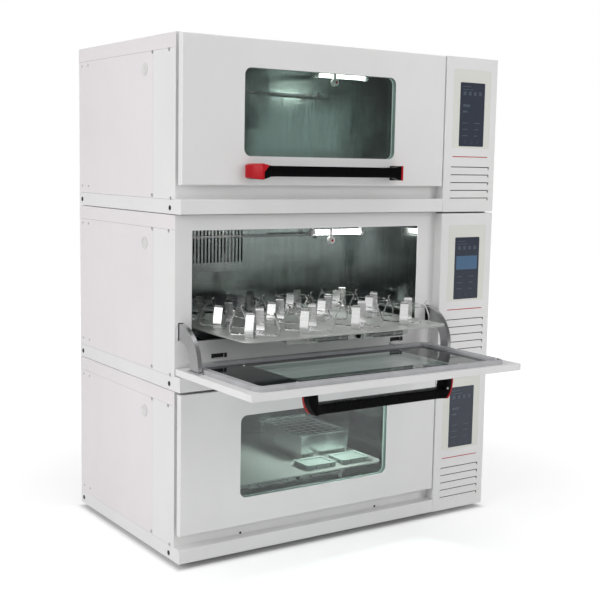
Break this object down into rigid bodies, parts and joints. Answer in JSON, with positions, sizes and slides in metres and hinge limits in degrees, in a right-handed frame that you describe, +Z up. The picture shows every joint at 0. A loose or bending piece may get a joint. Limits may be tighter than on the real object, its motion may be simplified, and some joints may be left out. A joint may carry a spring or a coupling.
{
  "type": "incubated benchtop shaker",
  "caption": "Stack of incubated benchtop shakers with windowed drop-down and lift-up doors, orbiting slide-out trays with flask clamps and racks, and a control column with touch panels.",
  "frame": {"origin": "on the ground under the middle of the whole object's bounding box, with the middle door open and its tray out", "axes": "+Z up, the doors face -Y, the control column is at +X"},
  "size_m": [1.102, 1.0226, 1.425],
  "materials": {
    "cabinet_white": "satin powder coat",
    "polished_steel": "polished",
    "spring_steel": "bright",
    "tray_metal": "fine anodised",
    "drive_steel": "machined",
    "motor_dark": "matt",
    "glass": "clear with a dark printed border",
    "seal": "matt",
    "handle_black": "semi-gloss",
    "cap_red": "semi-gloss",
    "holder_plastic": "matt",
    "screen": "glossy",
    "lamp": "opal",
    "fan_black": "matt",
    "foot_rubber": "matt",
    "inlet_black": "matt",
    "plug_white": "matt"
  },
  "bodies": {
    "cabinet": {"base_pan_lower": "cabinet_white", "front_frame_lower": "cabinet_white", "chamber_lower": "polished_steel", "control_column_lower": "cabinet_white", "base_pan_middle": "cabinet_white", "front_frame_middle": "cabinet_white", "chamber_middle": "polished_steel", "control_column_middle": "cabinet_white", "base_pan_upper": "cabinet_white", "front_frame_upper": "cabinet_white", "chamber_upper": "polished_steel", "control_column_upper": "cabinet_white", "top_decks": "cabinet_white", "touchscreens": "screen", "side_panels": "cabinet_white", "back_panels": "cabinet_white", "chamber_lamps": "lamp", "chamber_sensors": "plug_white", "duct_covers": "polished_steel", "heaters": "drive_steel", "drive_bases": "drive_steel", "motors": "motor_dark", "power_inlets": "inlet_black", "port_plugs": "plug_white", "feet": "foot_rubber"},
    "door_lower": {"door_pan_lower": "cabinet_white", "door_glass_lower": "glass", "door_gasket_lower": "seal", "door_stays_lower": "polished_steel"},
    "shaking_tray_lower": {"tray_lower": "tray_metal", "tube_rack": "spring_steel", "plate_holders": "holder_plastic"},
    "orbit_carriage_lower": {"carriage_lower": "drive_steel"},
    "drive_shaft_lower": {"drive_eccentric_lower": "drive_steel"},
    "idler_shaft_lower": {"idler_eccentric_lower": "drive_steel"},
    "fan_wheel_lower": {"fan_lower": "fan_black"},
    "door_middle": {"door_pan_middle": "cabinet_white", "door_glass_middle": "glass", "door_gasket_middle": "seal", "door_stays_middle": "polished_steel", "door_handle_middle": "handle_black", "handle_caps_middle": "cap_red"},
    "shaking_tray_middle": {"tray_middle": "tray_metal", "flask_clamps": "spring_steel", "clamp_springs": "spring_steel"},
    "orbit_carriage_middle": {"carriage_middle": "drive_steel"},
    "drive_shaft_middle": {"drive_eccentric_middle": "drive_steel"},
    "idler_shaft_middle": {"idler_eccentric_middle": "drive_steel"},
    "fan_wheel_middle": {"fan_middle": "fan_black"},
    "door_upper": {"door_pan_upper": "cabinet_white", "door_glass_upper": "glass", "door_gasket_upper": "seal", "door_stays_upper": "polished_steel", "door_handle_upper": "handle_black", "handle_caps_upper": "cap_red"},
    "shaking_tray_upper": {"tray_upper": "tray_metal"},
    "orbit_carriage_upper": {"carriage_upper": "drive_steel"},
    "drive_shaft_upper": {"drive_eccentric_upper": "drive_steel"},
    "idler_shaft_upper": {"idler_eccentric_upper": "drive_steel"},
    "fan_wheel_upper": {"fan_upper": "fan_black"}
  },
  "joints": [
    {"name": "door_swing_lower", "type": "hinge", "parent": "cabinet", "child": "door_lower", "pos_m": [0, -0.12125, 0.089], "axis": [1, 0, 0], "range_deg": [0, 90]},
    {"name": "drive_turn_lower", "type": "hinge", "parent": "cabinet", "child": "drive_shaft_lower", "pos_m": [-0.109, 0.19775, 0.073], "axis": [0, 0, 1], "continuous": true},
    {"name": "carriage_turn_lower", "type": "hinge", "parent": "drive_shaft_lower", "child": "orbit_carriage_lower", "pos_m": [-0.109, 0.21075, 0.125], "axis": [0, 0, 1], "continuous": true},
    {"name": "idler_turn_lower", "type": "hinge", "parent": "cabinet", "child": "idler_shaft_lower", "pos_m": [0.101, 0.19775, 0.073], "axis": [0, 0, 1], "continuous": true},
    {"name": "tray_slide_lower", "type": "slide", "parent": "orbit_carriage_lower", "child": "shaking_tray_lower", "axis": [0, -1, 0], "range_m": [0, 0.2875]},
    {"name": "fan_turn_lower", "type": "hinge", "parent": "cabinet", "child": "fan_wheel_lower", "pos_m": [-0.109, 0.47875, 0.351], "axis": [0, 1, 0], "continuous": true},
    {"name": "door_swing_middle", "type": "hinge", "parent": "cabinet", "child": "door_middle", "pos_m": [0, -0.12125, 0.559], "axis": [1, 0, 0], "range_deg": [-90, 0]},
    {"name": "drive_turn_middle", "type": "hinge", "parent": "cabinet", "child": "drive_shaft_middle", "pos_m": [-0.109, 0.19775, 0.543], "axis": [0, 0, 1], "continuous": true},
    {"name": "carriage_turn_middle", "type": "hinge", "parent": "drive_shaft_middle", "child": "orbit_carriage_middle", "pos_m": [-0.109, 0.21075, 0.595], "axis": [0, 0, 1], "continuous": true},
    {"name": "idler_turn_middle", "type": "hinge", "parent": "cabinet", "child": "idler_shaft_middle", "pos_m": [0.101, 0.19775, 0.543], "axis": [0, 0, 1], "continuous": true},
    {"name": "tray_slide_middle", "type": "slide", "parent": "orbit_carriage_middle", "child": "shaking_tray_middle", "axis": [0, -1, 0], "range_m": [-0.2875, 0]},
    {"name": "fan_turn_middle", "type": "hinge", "parent": "cabinet", "child": "fan_wheel_middle", "pos_m": [-0.109, 0.47875, 0.821], "axis": [0, 1, 0], "continuous": true},
    {"name": "door_swing_upper", "type": "hinge", "parent": "cabinet", "child": "door_upper", "pos_m": [0, -0.12125, 1.411], "axis": [-1, 0, 0], "range_deg": [0, 90]},
    {"name": "drive_turn_upper", "type": "hinge", "parent": "cabinet", "child": "drive_shaft_upper", "pos_m": [-0.109, 0.19775, 1.013], "axis": [0, 0, 1], "continuous": true},
    {"name": "carriage_turn_upper", "type": "hinge", "parent": "drive_shaft_upper", "child": "orbit_carriage_upper", "pos_m": [-0.109, 0.21075, 1.065], "axis": [0, 0, 1], "continuous": true},
    {"name": "idler_turn_upper", "type": "hinge", "parent": "cabinet", "child": "idler_shaft_upper", "pos_m": [0.101, 0.19775, 1.013], "axis": [0, 0, 1], "continuous": true},
    {"name": "tray_slide_upper", "type": "slide", "parent": "orbit_carriage_upper", "child": "shaking_tray_upper", "axis": [0, -1, 0], "range_m": [0, 0.2875]},
    {"name": "fan_turn_upper", "type": "hinge", "parent": "cabinet", "child": "fan_wheel_upper", "pos_m": [-0.109, 0.47875, 1.291], "axis": [0, 1, 0], "continuous": true}
  ],
  "couplings": [
    {"joint": "carriage_turn_lower", "follows": "drive_turn_lower", "ratio": -1},
    {"joint": "idler_turn_lower", "follows": "drive_turn_lower", "ratio": 1},
    {"joint": "tray_slide_lower", "follows": "door_swing_lower", "m_per_rad": 0.1827},
    {"joint": "carriage_turn_middle", "follows": "drive_turn_middle", "ratio": -1},
    {"joint": "idler_turn_middle", "follows": "drive_turn_middle", "ratio": 1},
    {"joint": "tray_slide_middle", "follows": "door_swing_middle", "m_per_rad": 0.1827},
    {"joint": "carriage_turn_upper", "follows": "drive_turn_upper", "ratio": -1},
    {"joint": "idler_turn_upper", "follows": "drive_turn_upper", "ratio": 1},
    {"joint": "tray_slide_upper", "follows": "door_swing_upper", "m_per_rad": 0.1827}
  ]
}
